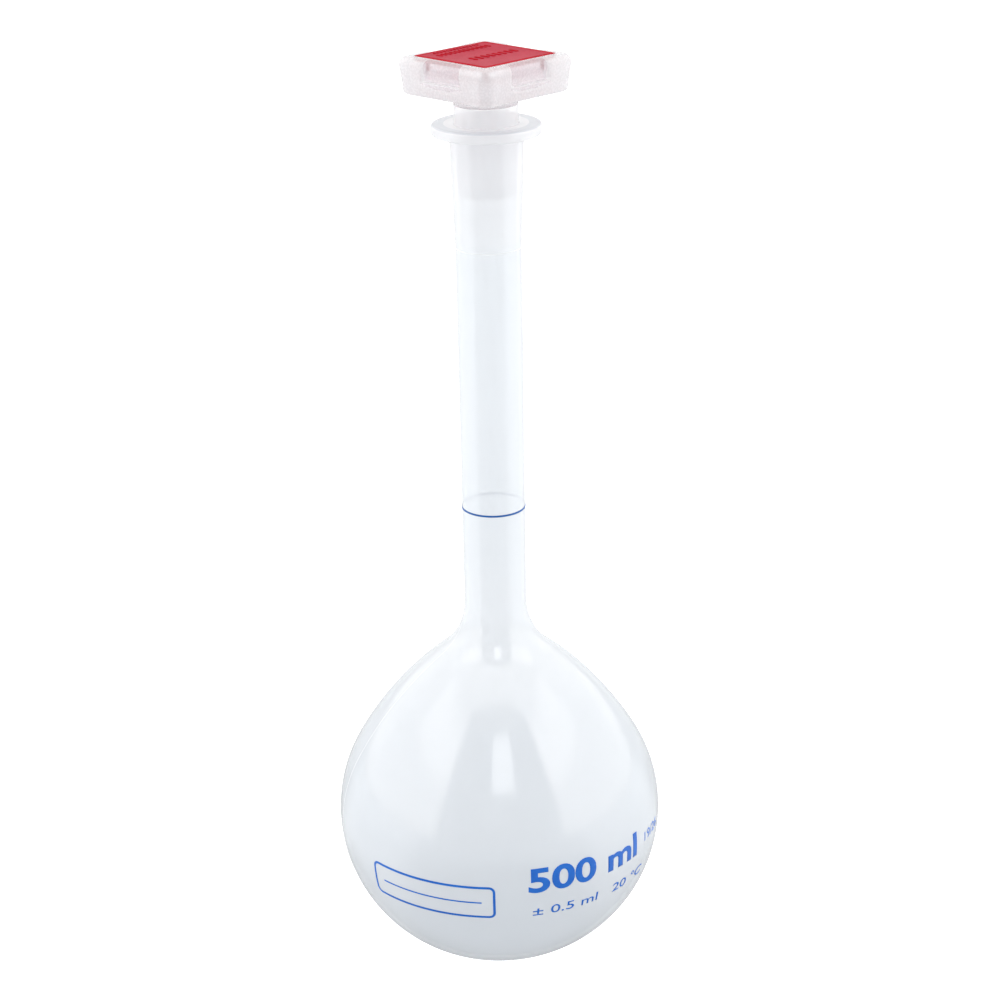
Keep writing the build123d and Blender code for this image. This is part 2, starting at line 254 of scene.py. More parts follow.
def flask_outline():
    """The flask's section, from the axis under the foot, round the outside and back down the inside."""
    angle = asin(PUSH_UP_RADIUS / PUSH_UP_ARC)
    outside = arc(PUSH_UP_CENTRE, PUSH_UP_ARC, pi / 2, pi / 2 - angle, 12)
    outside += bulb_profile(0)
    joint_bottom_radius = JOINT_RADIUS - JOINT_SLOPE * (FLANGE_TOP - JOINT_BOTTOM)
    rims = rounded(
        [
            (NECK_BOTTOM_RADIUS, NECK_BOTTOM),
            (NECK_TOP_RADIUS, SOCKET_SECTION),
            (COLLAR_RADIUS, FLANGE_UNDERSIDE),
            (FLANGE_RADIUS, FLANGE_UNDERSIDE),
            (FLANGE_RADIUS, FLANGE_TOP),
            (FLANGE_CLEAR_RADIUS, FLANGE_TOP),
            (JOINT_RADIUS, FLANGE_TOP),
            (joint_bottom_radius, JOINT_BOTTOM),
            (joint_bottom_radius, SOCKET_SECTION + WALL),
            (NECK_TOP_RADIUS - WALL, SOCKET_SECTION),
            (NECK_BOTTOM_RADIUS - WALL, NECK_BOTTOM),
        ],
        [12 * MM, 1.2 * MM, 0.7 * MM, 0.8 * MM, 0, 0.25 * MM, 0.1 * MM, 0.4 * MM, 0.4 * MM],
    )
    neck = line(rims[0], rims[1], 12)
    inner_angle = asin(PUSH_UP_RADIUS / (PUSH_UP_ARC + WALL))
    floor = arc(PUSH_UP_CENTRE, PUSH_UP_ARC + WALL, pi / 2 - inner_angle, pi / 2, 12)
    points = outside + neck + rims[2:-1] + line(rims[-2], rims[-1], 12)
    points += list(reversed(bulb_profile(WALL))) + floor
    return without_repeats(points)


# ---------------------------------------------------------------- mesh tools
def new_piece(name, bm, materials, smooth=True):
    """Turns a bmesh into an object with its normals outward and its materials in place."""
    bmesh.ops.recalc_face_normals(bm, faces=bm.faces)
    mesh = bpy.data.meshes.new(name)
    bm.to_mesh(mesh)
    bm.free()
    for material in materials:
        mesh.materials.append(material)
    if smooth:
        mesh.polygons.foreach_set("use_smooth", [True] * len(mesh.polygons))
    piece = bpy.data.objects.new(name, mesh)
    bpy.context.scene.collection.objects.link(piece)
    return piece


def even_turns(count):
    """Angles all the way round, evenly spaced."""
    return [2 * pi * i / count for i in range(count)]


def lathe(outline, turns, swell=None, closed=False, inner_rows=0):
    """A bmesh of an outline turned about the axis. swell(angle, height) adds to the radius.
    The last inner_rows rows of faces take the second material."""
    bm = bmesh.new()
    rings = []
    for radius, height in outline:
        if radius < 1e-6:
            rings.append([bm.verts.new((0, 0, height))])
            continue
        ring = []
        for angle in turns:
            r = radius + (swell(angle, height) if swell else 0)
            ring.append(bm.verts.new((r * sin(angle), -r * cos(angle), height)))
        rings.append(ring)
    pairs = list(zip(rings, rings[1:]))
    if closed:
        pairs.append((rings[-1], rings[0]))
    count = len(turns)
    for row, (low, high) in enumerate(pairs):
        for i in range(count):
            j = (i + 1) % count
            if len(low) == 1:
                corners = (low[0], high[j], high[i])
            elif len(high) == 1:
                corners = (low[i], low[j], high[0])
            else:
                corners = (low[i], low[j], high[j], high[i])
            face = bm.faces.new(corners)
            face.material_index = 1 if row >= len(pairs) - inner_rows else 0
    return bm


def bulb_point(azimuth, height, out):
    """Point over the bulb's surface at an azimuth from -Y towards +X, a height and a distance outwards."""
    below = height < EQUATOR
    centre = LOWER_CENTRE if below else UPPER_CENTRE
    radius = LOWER_ARC if below else UPPER_ARC
    tilt = asin((height - EQUATOR) / radius)
    reach = centre[0] + (radius + out) * cos(tilt)
    return Vector((reach * sin(azimuth), -reach * cos(azimuth), centre[1] + (radius + out) * sin(tilt)))


def wrap_on_bulb(bm, start, base):
    """Lays a flat sheet drawn in x and y onto the bulb and gives it a back, so that it's a closed film."""
    for axis in (0, 1):
        values = [v.co[axis] for v in bm.verts]
        low, high = min(values), max(values)
        for k in range(1, ceil((high - low) / PRINT_STEP)):
            normal = Vector((0, 0, 0))
            normal[axis] = 1
            at = normal * (low + k * PRINT_STEP)
            geometry = bm.verts[:] + bm.edges[:] + bm.faces[:]
            bmesh.ops.bisect_plane(bm, geom=geometry, plane_co=at, plane_no=normal, dist=1e-7)
    bmesh.ops.remove_doubles(bm, verts=bm.verts, dist=1e-6)
    front = bm.faces[:]
    flat = {v: v.co.copy() for v in bm.verts}
    copied = bmesh.ops.duplicate(bm, geom=bm.verts[:] + bm.edges[:] + front)
    back_of = {}
    for old, new in copied["vert_map"].items():
        if old in flat:
            back_of[old] = new
    rim = [e for e in bm.edges if e.verts[0] in flat and len(e.link_faces) == 1]
    for edge in rim:
        a, b = edge.verts
        bm.faces.new((a, b, back_of[b], back_of[a]))
    for vert, co in flat.items():
        azimuth = start + co.x / BULB_RADIUS
        vert.co = bulb_point(azimuth, base + co.y, INK_THICKNESS)
        back_of[vert].co = bulb_point(azimuth, base + co.y, INK_BACK)
    return bm


# ---------------------------------------------------------------- materials
def node(tree, kind, **values):
    """A shader node with the given properties or input values."""
    made = tree.nodes.new(kind)
    for key, value in values.items():
        if key in made.inputs:
            made.inputs[key].default_value = value
        else:
            setattr(made, key, value)
    return made


def smooth_step(tree, value, start, end):
    """Rises smoothly from 0 to 1 as a number goes from start to end."""
    step = node(tree, "ShaderNodeMapRange", interpolation_type="SMOOTHSTEP")
    step.inputs["From Min"].default_value = start
    step.inputs["From Max"].default_value = end
    tree.links.new(value, step.inputs["Value"])
    return step.outputs["Result"]


def maths(tree, operation, *values):
    """A maths node over sockets and numbers."""
    made = node(tree, "ShaderNodeMath", operation=operation)
    for i, value in enumerate(values):
        if isinstance(value, (int, float)):
            made.inputs[i].default_value = value
        else:
            tree.links.new(value, made.inputs[i])
    return made.outputs[0]


def separated(tree, vector):
    """The three parts of a vector."""
    parts = node(tree, "ShaderNodeSeparateXYZ")
    tree.links.new(vector, parts.inputs[0])
    return parts.outputs[0], parts.outputs[1], parts.outputs[2]


def noise(tree, scale):
    """Noise in the object's own coordinates, scale features to the metre."""
    coordinates = node(tree, "ShaderNodeTexCoord")
    texture = node(tree, "ShaderNodeTexNoise", Scale=scale, Detail=3.0)
    tree.links.new(coordinates.outputs["Object"], texture.inputs["Vector"])
    return texture.outputs["Fac"]


def ranged(tree, value, low, high):
    """A noise value spread between two numbers."""
    spread = node(tree, "ShaderNodeMapRange")
    spread.inputs["From Min"].default_value = 0.3
    spread.inputs["From Max"].default_value = 0.7
    spread.inputs["To Min"].default_value = low
    spread.inputs["To Max"].default_value = high
    tree.links.new(value, spread.inputs["Value"])
    return spread.outputs["Result"]


def blended(tree, value, first, second):
    """A colour that runs from one to another as a noise value rises."""
    ramp = node(tree, "ShaderNodeValToRGB")
    ramp.color_ramp.elements[0].position = 0.35
    ramp.color_ramp.elements[0].color = (*first, 1)
    ramp.color_ramp.elements[1].position = 0.65
    ramp.color_ramp.elements[1].color = (*second, 1)
    tree.links.new(value, ramp.inputs["Fac"])
    return ramp.outputs["Color"]


def bumped(tree, value, height):
    """A normal from a noise value."""
    bump = node(tree, "ShaderNodeBump", Strength=0.4, Distance=height)
    tree.links.new(value, bump.inputs["Height"])
    return bump.outputs["Normal"]


def mirror_share(tree, normal, straight_on):
    """How much light the skin mirrors: straight_on when seen square, rising to all of it at a glance."""
    facing = node(tree, "ShaderNodeLayerWeight", Blend=0.5)
    tree.links.new(normal, facing.inputs["Normal"])
    glance = maths(tree, "POWER", facing.outputs["Facing"], 5.0)
    return maths(tree, "MULTIPLY_ADD", glance, 1.0 - straight_on, straight_on)


def painted_height_shade(tree, painted_shade_stops):
    """Painted shade and light by height: a colour that changes with height, from (height, colour) pairs."""
    coordinates = node(tree, "ShaderNodeTexCoord")
    height = separated(tree, coordinates.outputs["Object"])[2]
    top = painted_shade_stops[-1][0]
    share = maths(tree, "DIVIDE", height, top)
    ramp = node(tree, "ShaderNodeValToRGB")
    elements = ramp.color_ramp.elements
    while len(elements) < len(painted_shade_stops):
        elements.new(1.0)
    for element, (stop, colour) in zip(elements, painted_shade_stops):
        element.position = stop / top
        element.color = (*colour, 1)
    tree.links.new(share, ramp.inputs["Fac"])
    return ramp.outputs["Color"]


# the colour sockets of a Mix node
MIX_A, MIX_B, MIX_RESULT = 6, 7, 2


def tinted(tree, colour, shade):
    """One colour multiplied by another."""
    product = node(tree, "ShaderNodeMix", data_type="RGBA", blend_type="MULTIPLY")
    product.inputs["Factor"].default_value = 1.0
    tree.links.new(colour, product.inputs[MIX_A])
    tree.links.new(shade, product.inputs[MIX_B])
    return product.outputs[MIX_RESULT]


def milky_plastic(name, first, second, glow, tint, see_through, gloss, grain, mirror=0.05, painted_shade_stops=None):
    """Milky plastic: some light goes straight through, some is spread and the skin mirrors a little."""
    material = bpy.data.materials.new(name)
    material.use_nodes = True
    tree = material.node_tree
    tree.nodes.clear()
    cloud = noise(tree, 90.0)
    fine = noise(tree, grain)
    normal = bumped(tree, fine, 0.012 * MM)
    roughness = ranged(tree, fine, gloss - 0.03, gloss + 0.05)
    surface = node(tree, "ShaderNodeBsdfPrincipled", IOR=1.49)
    surface.inputs["Specular IOR Level"].default_value = 0.0
    body_colour = blended(tree, cloud, first, second)
    inner_light = node(tree, "ShaderNodeBsdfTranslucent", Color=(*glow, 1))
    # painted shade and light by height: the body colour and the glow are darkened or lightened where the
    # painted_shade_stops say
    if painted_shade_stops:
        shade = painted_height_shade(tree, painted_shade_stops)
        body_colour = tinted(tree, body_colour, shade)
        tree.links.new(tinted(tree, blended(tree, cloud, glow, second), shade), inner_light.inputs["Color"])
    tree.links.new(body_colour, surface.inputs["Base Color"])
    tree.links.new(roughness, surface.inputs["Roughness"])
    tree.links.new(normal, surface.inputs["Normal"])
    tree.links.new(normal, inner_light.inputs["Normal"])
    clear = node(tree, "ShaderNodeBsdfTransparent", Color=(*tint, 1))
    skin = node(tree, "ShaderNodeBsdfGlossy", Color=(1, 1, 1, 1))
    tree.links.new(roughness, skin.inputs["Roughness"])
    tree.links.new(normal, skin.inputs["Normal"])
    milk = node(tree, "ShaderNodeMixShader", Fac=0.5)
    tree.links.new(surface.outputs["BSDF"], milk.inputs[1])
    tree.links.new(inner_light.outputs["BSDF"], milk.inputs[2])
    body = node(tree, "ShaderNodeMixShader", Fac=1 - see_through)
    tree.links.new(clear.outputs["BSDF"], body.inputs[1])
    tree.links.new(milk.outputs["Shader"], body.inputs[2])
    whole = node(tree, "ShaderNodeMixShader")
    tree.links.new(mirror_share(tree, normal, mirror), whole.inputs["Fac"])
    tree.links.new(body.outputs["Shader"], whole.inputs[1])
    tree.links.new(skin.outputs["BSDF"], whole.inputs[2])
    output = node(tree, "ShaderNodeOutputMaterial")
    tree.links.new(whole.outputs["Shader"], output.inputs["Surface"])
    return material


def solid_plastic(name, first, second, gloss, grain, bump_height, shine=0.5, index=1.49):
    """Opaque plastic or ink with a cloudy colour and a fine grain."""
    material = bpy.data.materials.new(name)
    material.use_nodes = True
    tree = material.node_tree
    tree.nodes.clear()
    cloud = noise(tree, 260.0)
    fine = noise(tree, grain)
    surface = node(tree, "ShaderNodeBsdfPrincipled", IOR=index)
    surface.inputs["Specular IOR Level"].default_value = shine
    tree.links.new(blended(tree, cloud, first, second), surface.inputs["Base Color"])
    tree.links.new(ranged(tree, fine, gloss - 0.05, gloss + 0.05), surface.inputs["Roughness"])
    tree.links.new(bumped(tree, fine, bump_height), surface.inputs["Normal"])
    output = node(tree, "ShaderNodeOutputMaterial")
    tree.links.new(surface.outputs["BSDF"], output.inputs["Surface"])
    return material


# painted shade and light by height on the flask's one plastic: the bulb is painted the darkest and the
# thick socket section the whitest
BULB_SHADE = (0.866, 0.889, 0.911)
THROAT_SHADE = (0.95, 0.96, 0.97)
NECK_SHADE = (0.912, 0.928, 0.941)
LOW_SOCKET_SHADE = (0.935, 0.935, 0.94)
SOCKET_SHADE = (1.0, 0.99, 0.99)
PAINTED_WALL_SHADE_STOPS = (
    (0.0, BULB_SHADE),
    (0.080, BULB_SHADE),
    (0.100, THROAT_SHADE),
    (0.110, THROAT_SHADE),
    (0.130, NECK_SHADE),
    (0.222, NECK_SHADE),
    (0.226, LOW_SOCKET_SHADE),
    (0.235, LOW_SOCKET_SHADE),
    (0.243, SOCKET_SHADE),
    (0.260, SOCKET_SHADE),
)
# painted shade: the plug is painted a little darker inside the socket than above it
CONE_SHADE = (0.975, 0.973, 0.975)
SHANK_SHADE = (1.0, 1.0, 1.0)
PAINTED_PLUG_SHADE_STOPS = (
    (0.230, CONE_SHADE),
    (0.252, CONE_SHADE),
    (0.258, SHANK_SHADE),
    (0.280, SHANK_SHADE),
)
flask_plastic = milky_plastic(
    "flask_milky_plastic",
    first=(0.972, 0.981, 0.987),
    second=(0.982, 0.989, 0.994),
    glow=(0.98, 0.988, 0.995),
    tint=(0.985, 0.99, 1.0),
    see_through=0.3,
    gloss=0.07,
    grain=1400.0,
    mirror=0.07,
    painted_shade_stops=PAINTED_WALL_SHADE_STOPS,
)
# painted highlight: a whiter, less see-through plastic on the mould seams and along the socket section's
# lower edge, for the bright lines that light draws there
seam_highlight_plastic = milky_plastic(
    "flask_painted_seam_highlight",
    first=(0.99, 0.995, 1.0),
    second=(0.992, 0.996, 1.0),
    glow=(0.99, 0.995, 1.0),
    tint=(0.99, 0.995, 1.0),
    see_through=0.1,
    gloss=0.09,
    grain=1400.0,
    mirror=0.1,
)
# painted shade: the flange's top rim outside the clear disc is painted darker grey-blue, as the dark
# crescents of shade seen there
flange_painted_shade = milky_plastic(
    "flask_flange_rim_painted_shade",
    first=(0.74, 0.765, 0.80),
    second=(0.77, 0.795, 0.83),
    glow=(0.74, 0.77, 0.805),
    tint=(0.96, 0.97, 0.985),
    see_through=0.25,
    gloss=0.15,
    grain=1400.0,
    mirror=0.05,
)
flask_inside = milky_plastic(
    "flask_inner_skin",
    first=(0.975, 0.983, 0.989),
    second=(0.984, 0.99, 0.995),
    glow=(0.982, 0.99, 0.996),
    tint=(0.985, 0.99, 1.0),
    see_through=0.85,
    gloss=0.15,
    grain=1400.0,
    mirror=0.07,
)
plug_plastic = milky_plastic(
    "stopper_milky_plastic",
    first=(0.985, 0.988, 0.99),
    second=(0.99, 0.993, 0.995),
    glow=(0.99, 0.993, 0.995),
    tint=(0.99, 0.995, 1.0),
    see_through=0.45,
    gloss=0.2,
    grain=1600.0,
    painted_shade_stops=PAINTED_PLUG_SHADE_STOPS,
)
plug_inside = milky_plastic(
    "stopper_inner_skin",
    first=(0.985, 0.988, 0.99),
    second=(0.99, 0.993, 0.995),
    glow=(0.99, 0.993, 0.995),
    tint=(0.99, 0.995, 1.0),
    see_through=0.85,
    gloss=0.2,
    grain=1600.0,
    painted_shade_stops=PAINTED_PLUG_SHADE_STOPS,
)
grip_plastic = milky_plastic(
    "grip_milky_plastic",
    first=(0.907, 0.912, 0.926),
    second=(0.917, 0.922, 0.936),
    glow=(0.95, 0.952, 0.965),
    tint=(0.985, 0.985, 0.99),
    see_through=0.22,
    gloss=0.26,
    grain=1600.0,
)
# painted shade and painted pink light from the red plate: the dents and the hollows under them are painted
# darker and pinkish, where the wall is also thinner
grip_painted_dents = milky_plastic(
    "grip_dent_painted_shade_pink_light",
    first=(0.86, 0.825, 0.86),
    second=(0.87, 0.835, 0.87),
    glow=(0.88, 0.835, 0.87),
    tint=(0.97, 0.955, 0.97),
    see_through=0.38,
    gloss=0.26,
    grain=1600.0,
)
# painted light: the grip's inner skin is painted faintly pink, for red light from the plate above it
grip_inside_painted_pink = milky_plastic(
    "grip_inner_skin_painted_pink_light",
    first=(0.982, 0.965, 0.973),
    second=(0.988, 0.973, 0.98),
    glow=(0.988, 0.97, 0.978),
    tint=(0.99, 0.98, 0.985),
    see_through=0.8,
    gloss=0.22,
    grain=1600.0,
)
plate_deep_red = solid_plastic(
    "plate_deep_red",
    first=(0.46, 0.010, 0.022),
    second=(0.50, 0.016, 0.03),
    gloss=0.5,
    grain=3200.0,
    bump_height=0.01 * MM,
    shine=0.1,
    index=1.15,
)
plate_red = solid_plastic(
    "plate_satin_red",
    first=(0.44, 0.022, 0.046),
    second=(0.49, 0.032, 0.06),
    gloss=0.5,
    grain=3200.0,
    bump_height=0.02 * MM,
    shine=0.2,
    index=1.35,
)
ring_blue = solid_plastic(
    "ring_blue_ink",
    first=(0.015, 0.10, 0.36),
    second=(0.02, 0.12, 0.40),
    gloss=0.4,
    grain=4000.0,
    bump_height=0.004 * MM,
)
print_blue = solid_plastic(
    "print_blue_ink",
    first=(0.004, 0.13, 0.60),
    second=(0.008, 0.16, 0.66),
    gloss=0.38,
    grain=4000.0,
    bump_height=0.004 * MM,
)


# ---------------------------------------------------------------- flask
def flask_turns():
    """Even turns with extra ones at the two mould seams."""
    turns = even_turns(TURNS)
    for seam in MOULD_SEAMS:
        turns = [t for t in turns if abs(t - seam) > radians(0.9)]
        turns += [seam + radians(0.5) * k for k in (-1.2, -0.5, 0, 0.5, 1.2)]
    return sorted(turns)


def seam_ridge(angle, height):
    """How far a point is drawn in from the outline, so that the mould seams stand out as ridges."""
    for seam in MOULD_SEAMS:
        if abs(angle - seam) < radians(0.1) and FOOT_FILLET < height < FLANGE_UNDERSIDE - 2 * MM:
            return 0.0
    return -SEAM_HEIGHT


def inner_row_count(outline):
    """Rows of the flask's outline that lie inside it, from just below the mouth's lip on."""
    below_lip = 0
    for i, (radius, height) in enumerate(outline):
        if radius > JOINT_RADIUS and height > FLANGE_TOP - MM:
            below_lip = i
    return len(outline) - 2 - below_lip


def mark_flask_faces(bm):
    """Gives the flange's rim its painted shade, and the mould seams and the socket section's lower edge a
    painted highlight, each as its own material.
    """
    for face in bm.faces:
        if face.material_index == 1:
            continue
        middle = face.calc_center_median()
        radius = hypot(middle.x, middle.y)
        azimuth = atan2(middle.x, -middle.y) % pi
        on_seam = abs(azimuth - MOULD_SEAMS[0]) < radians(0.3)
        # painted shade on the flange's top rim
        if radius > FLANGE_CLEAR_RADIUS and middle.z > FLANGE_TOP - 0.25 * MM:
            face.material_index = 2
        # painted highlight along the mould seams
        elif on_seam and FOOT_FILLET < middle.z < FLANGE_UNDERSIDE - 2 * MM:
            face.material_index = 3
        # painted highlight along the socket section's lower edge
        elif abs(middle.z - SOCKET_SECTION) < 0.19 * MM:
            face.material_index = 3


flask_section = flask_outline()
shell_mesh = lathe(flask_section, flask_turns(), seam_ridge, inner_rows=inner_row_count(flask_section))
mark_flask_faces(shell_mesh)
shell = new_piece("flask_shell", shell_mesh, [flask_plastic, flask_inside, flange_painted_shade, seam_highlight_plastic])
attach(shell, "flask")
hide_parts("flask_body")

# ---------------------------------------------------------------- ring mark
ring_middle = (ring_low.z + ring_high.z) / 2
ring_half = (ring_high.z - ring_low.z) / 2
ring_outer = ring_high.x
ring_inner = ring_outer - RING_THICKNESS
ring_outline = rounded(
    [
        (ring_inner, ring_middle - ring_half),
        (ring_outer, ring_middle - ring_half),
        (ring_outer, ring_middle + ring_half),
        (ring_inner, ring_middle + ring_half),
    ],
    [0.03 * MM, 0.03 * MM],
    3,
)
ring = new_piece("ring_band", lathe(ring_outline, even_turns(TURNS), closed=True), [ring_blue])
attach(ring, "flask")
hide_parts("ring_mark")


# ---------------------------------------------------------------- print on the bulb
def flat_text(body, height, boldness):
    """A flat mesh of a line of text from x = 0 and y = 0. Its capitals are height tall, and its strokes are
    fattened by boldness times that."""
    curve = bpy.data.curves.new("text_outline", "FONT")
    curve.body = body
    curve.size = height / CAPITAL_SHARE
    curve.offset = boldness * height
    curve.resolution_u = 6
    holder = bpy.data.objects.new("text_outline", curve)
    bpy.context.scene.collection.objects.link(holder)
    bpy.context.view_layer.update()
    mesh = bpy.data.meshes.new_from_object(holder)
    bm = bmesh.new()
    bm.from_mesh(mesh)
    bpy.data.objects.remove(holder)
    bpy.data.curves.remove(curve)
    bpy.data.meshes.remove(mesh)
    bmesh.ops.remove_doubles(bm, verts=bm.verts, dist=1e-7)
    left = min(v.co.x for v in bm.verts)
    for v in bm.verts:
        v.co.x -= left
    return bm


def text_print(name, node_name, body, start, end, base, height, boldness):
    """A line of text laid on the bulb between two azimuths in degrees, standing for a CAD print."""
    bm = flat_text(body, height, boldness)
    width = max(v.co.x for v in bm.verts)
    stretch = radians(end - start) * BULB_RADIUS / width
    for v in bm.verts:
        v.co.x *= stretch
    wrap_on_bulb(bm, radians(start), base)
    piece = new_piece(name, bm, [print_blue], smooth=False)
    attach(piece, "flask")
    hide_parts(node_name)
    return piece


text_print(
    "capacity_text",
    "capacity_print",
    "500 ml",
    start=9.3,
    end=56.2,
    base=37.0 * MM,
    height=CAPACITY_CAPITALS,
    boldness=0.038,
)
text_print(
    "tolerance_text",
    "tolerance_print",
    "± 0.5 ml   20 °C",
    start=11.0,
    end=61.8,
    base=LOWER_LINE,
    height=SMALL_CAPITALS,
    boldness=0.006,
)
text_print(
    "joint_text",
    "joint_print",
    "19/26",
    start=62.0,
    end=75.0,
    base=38.9 * MM,
    height=SMALL_CAPITALS,
    boldness=0.0,
)


def rounded_box(low, high, corner, steps=6):
    """Points round a rounded rectangle, anticlockwise."""
    points = []
    centres = (
        (high[0] - corner, low[1] + corner, -pi / 2),
        (high[0] - corner, high[1] - corner, 0),
        (low[0] + corner, high[1] - corner, pi / 2),
        (low[0] + corner, low[1] + corner, pi),
    )
    for x, y, start in centres:
        points += arc((x, y), corner, start, start + pi / 2, steps)
    return points


def panel_sheet():
    """Flat outline of the write-on panel and its rule, from x = 0 and y = 0."""
    width = PANEL_SPAN * BULB_RADIUS
    height = PANEL_HEIGHT
    corner, line_width, rule = 2.0 * MM, 0.8 * MM, 0.5 * MM
    bm = bmesh.new()
    outer = rounded_box((0, 0), (width, height), corner)
    inner = rounded_box(
        (line_width, line_width), (width - line_width, height - line_width), corner - line_width
    )
    outer_verts = [bm.verts.new((x, y, 0)) for x, y in outer]
    inner_verts = [bm.verts.new((x, y, 0)) for x, y in inner]
    count = len(outer)
    for i in range(count):
        j = (i + 1) % count
        bm.faces.new((outer_verts[i], outer_verts[j], inner_verts[j], inner_verts[i]))
    low, high = (height - rule) / 2, (height + rule) / 2
    ends = (0.1 * width, 0.9 * width)
    corners = ((ends[0], low), (ends[1], low), (ends[1], high), (ends[0], high))
    bm.faces.new([bm.verts.new((x, y, 0)) for x, y in corners])
    return bm


panel_film = wrap_on_bulb(panel_sheet(), PANEL_START, LOWER_LINE)
panel = new_piece("panel_outline", panel_film, [print_blue], smooth=False)
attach(panel, "flask")
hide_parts("write_on_panel")


# ---------------------------------------------------------------- stopper
# rows of the plug's outline inside the cup, below the spigot
ROWS_AT_PLUG_FLOOR = 6


def plug_outline():
    """The hollow plug's section, from the axis under its floor round to the axis inside."""
    bottom = plug_low.z
    shank = plug_high.x
    low_radius = shank - JOINT_SLOPE * (FLANGE_TOP - bottom)
    wall = SPIGOT_RADIUS - SPIGOT_INNER
    points = rounded(
        [
            (0, bottom),
            (low_radius, bottom),
            (shank, FLANGE_TOP),
            (shank, SEAM),
            (SPIGOT_RADIUS, SEAM),
            (SPIGOT_RADIUS, SPIGOT_TOP),
            (SPIGOT_INNER, SPIGOT_TOP),
            (low_radius - wall, bottom + wall),
            (0, bottom + wall),
        ],
        [0.8 * MM, 0, 0.12 * MM, 0.1 * MM, 0.2 * MM, 0.2 * MM, 0.6 * MM],
    )
    return without_repeats(points)


plug_section = plug_outline()
rows_above_seam = sum(1 for radius, height in plug_section if height > SEAM + 0.05 * MM)
plug_mesh = lathe(plug_section, even_turns(PLUG_TURNS), inner_rows=rows_above_seam + ROWS_AT_PLUG_FLOOR)
plug = new_piece("stopper_core", plug_mesh, [plug_plastic, plug_inside])
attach(plug, "stopper")
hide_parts("stopper_plug")


# ---------------------------------------------------------------- grip
def square_turn(x, y):
    """A point of the head's own square turned so that a corner of the head points to -Y."""
    return ((x - y) / sqrt(2), (x + y) / sqrt(2))


def square_ring(half, corner, bow=0.0):
    """Points round a rounded square whose sides bow in by bow, with their place along the side."""
    flat = half - corner
    quarter = [(half, flat * k / SIDE_STEPS) for k in range(-SIDE_STEPS, SIDE_STEPS)]
    quarter += arc((flat, flat), corner, 0, pi / 2, CORNER_STEPS)[:-1]
    ring = []
    for turn in range(4):
        for x, y in quarter:
            inset_x = x * (1 - bow / half * (1 - (y / half) ** 2))
            inset_y = y * (1 - bow / half * (1 - (x / half) ** 2))
            for _ in range(turn):
                inset_x, inset_y = -inset_y, inset_x
            ring.append((inset_x, inset_y))
    return ring


def round_ring(radius):
    """Points round a circle at the same bearings as a square ring's."""
    ring = []
    for x, y in square_ring(1.0, 0.1):
        reach = hypot(x, y)
        ring.append((x * radius / reach, y * radius / reach))
    return ring


def eased(value, start, end):
    """Rises smoothly from 0 to 1 as value goes from start to end."""
    share = min(max((value - start) / (end - start), 0.0), 1.0)
    return share * share * (3 - 2 * share)


def hollow_share(along):
    """How tall the hollow under a dent is, from 1 at the middle of the side to 0 at the hollow's ends."""
    return max(1 - (along / (1.15 * DENT_HALF)) ** 2, 0.0)


def dent_at(along, height):
    """How far a side of the head is pressed in, at a place along it and a height."""
    span = abs(along)
    ends = 1 - eased(span, DENT_HALF - 1.0 * MM, DENT_HALF + 0.3 * MM)
    cut = DENT_DEPTH * ends * eased(height, DENT_FLOOR - 0.25 * MM, DENT_FLOOR + 0.35 * MM)
    hollow = hollow_share(along)
    bottom = HOLLOW_TOP - HOLLOW_HEIGHT * hollow - 0.05 * MM
    rise = (1 - eased(height, bottom, HOLLOW_TOP)) * eased(height, bottom - 0.7 * MM, bottom)
    return cut + HOLLOW_DEPTH * sqrt(hollow) * rise


def head_side_ring(height, half, corner):
    """A ring of the head's side with the finger dents pressed in."""
    ring = []
    for x, y in square_ring(half, corner, SIDE_BOW):
        if abs(x) > abs(y):
            push = min(dent_at(y, height), abs(x) - DENT_LIMIT)
            x -= push if x > 0 else -push
        else:
            push = min(dent_at(x, height), abs(y) - DENT_LIMIT)
            y -= push if y > 0 else -push
        ring.append((x, y))
    return ring


def head_half(height):
    """Half the head's width at a height, before its edges are rounded."""
    share = (height - HEAD_BOTTOM) / (HEAD_TOP - HEAD_BOTTOM)
    return HEAD_HALF - HEAD_TAPER * (1 - share)


def stacked(rings):
    """A closed bmesh skin over a loop of rings, each a list of points and a height."""
    bm = bmesh.new()
    loops = []
    for points, height in rings:
        loops.append([bm.verts.new((*square_turn(x, y), height)) for x, y in points])
    count = len(loops[0])
    for row, (low, high) in enumerate(zip(loops, loops[1:] + loops[:1])):
        for i in range(count):
            j = (i + 1) % count
            face = bm.faces.new((low[i], low[j], high[j], high[i]))
            face.material_index = 1 if row >= len(loops) - GRIP_INNER_ROWS else 0
    for face in bm.faces:
        middle = face.calc_center_median()
        across = (abs(middle.x + middle.y) / sqrt(2), abs(middle.x - middle.y) / sqrt(2))
        pressed_in = max(across) < HEAD_HALF - 0.5 * DENT_DEPTH - SIDE_BOW
        in_dent = (
            pressed_in
            and min(across) < DENT_HALF - 0.5 * MM
            and DENT_FLOOR < middle.z < HEAD_TOP - 0.2 * MM
        )
        hollow_bottom = HOLLOW_TOP - HOLLOW_HEIGHT * hollow_share(min(across))
        on_side = max(across) > DENT_LIMIT - 0.1 * MM
        in_hollow = on_side and hollow_bottom < middle.z < HOLLOW_TOP
        # the dents and the hollows under them take the painted shade with its pink cast
        if face.material_index == 0 and (in_dent or in_hollow):
            face.material_index = 2
    return bm


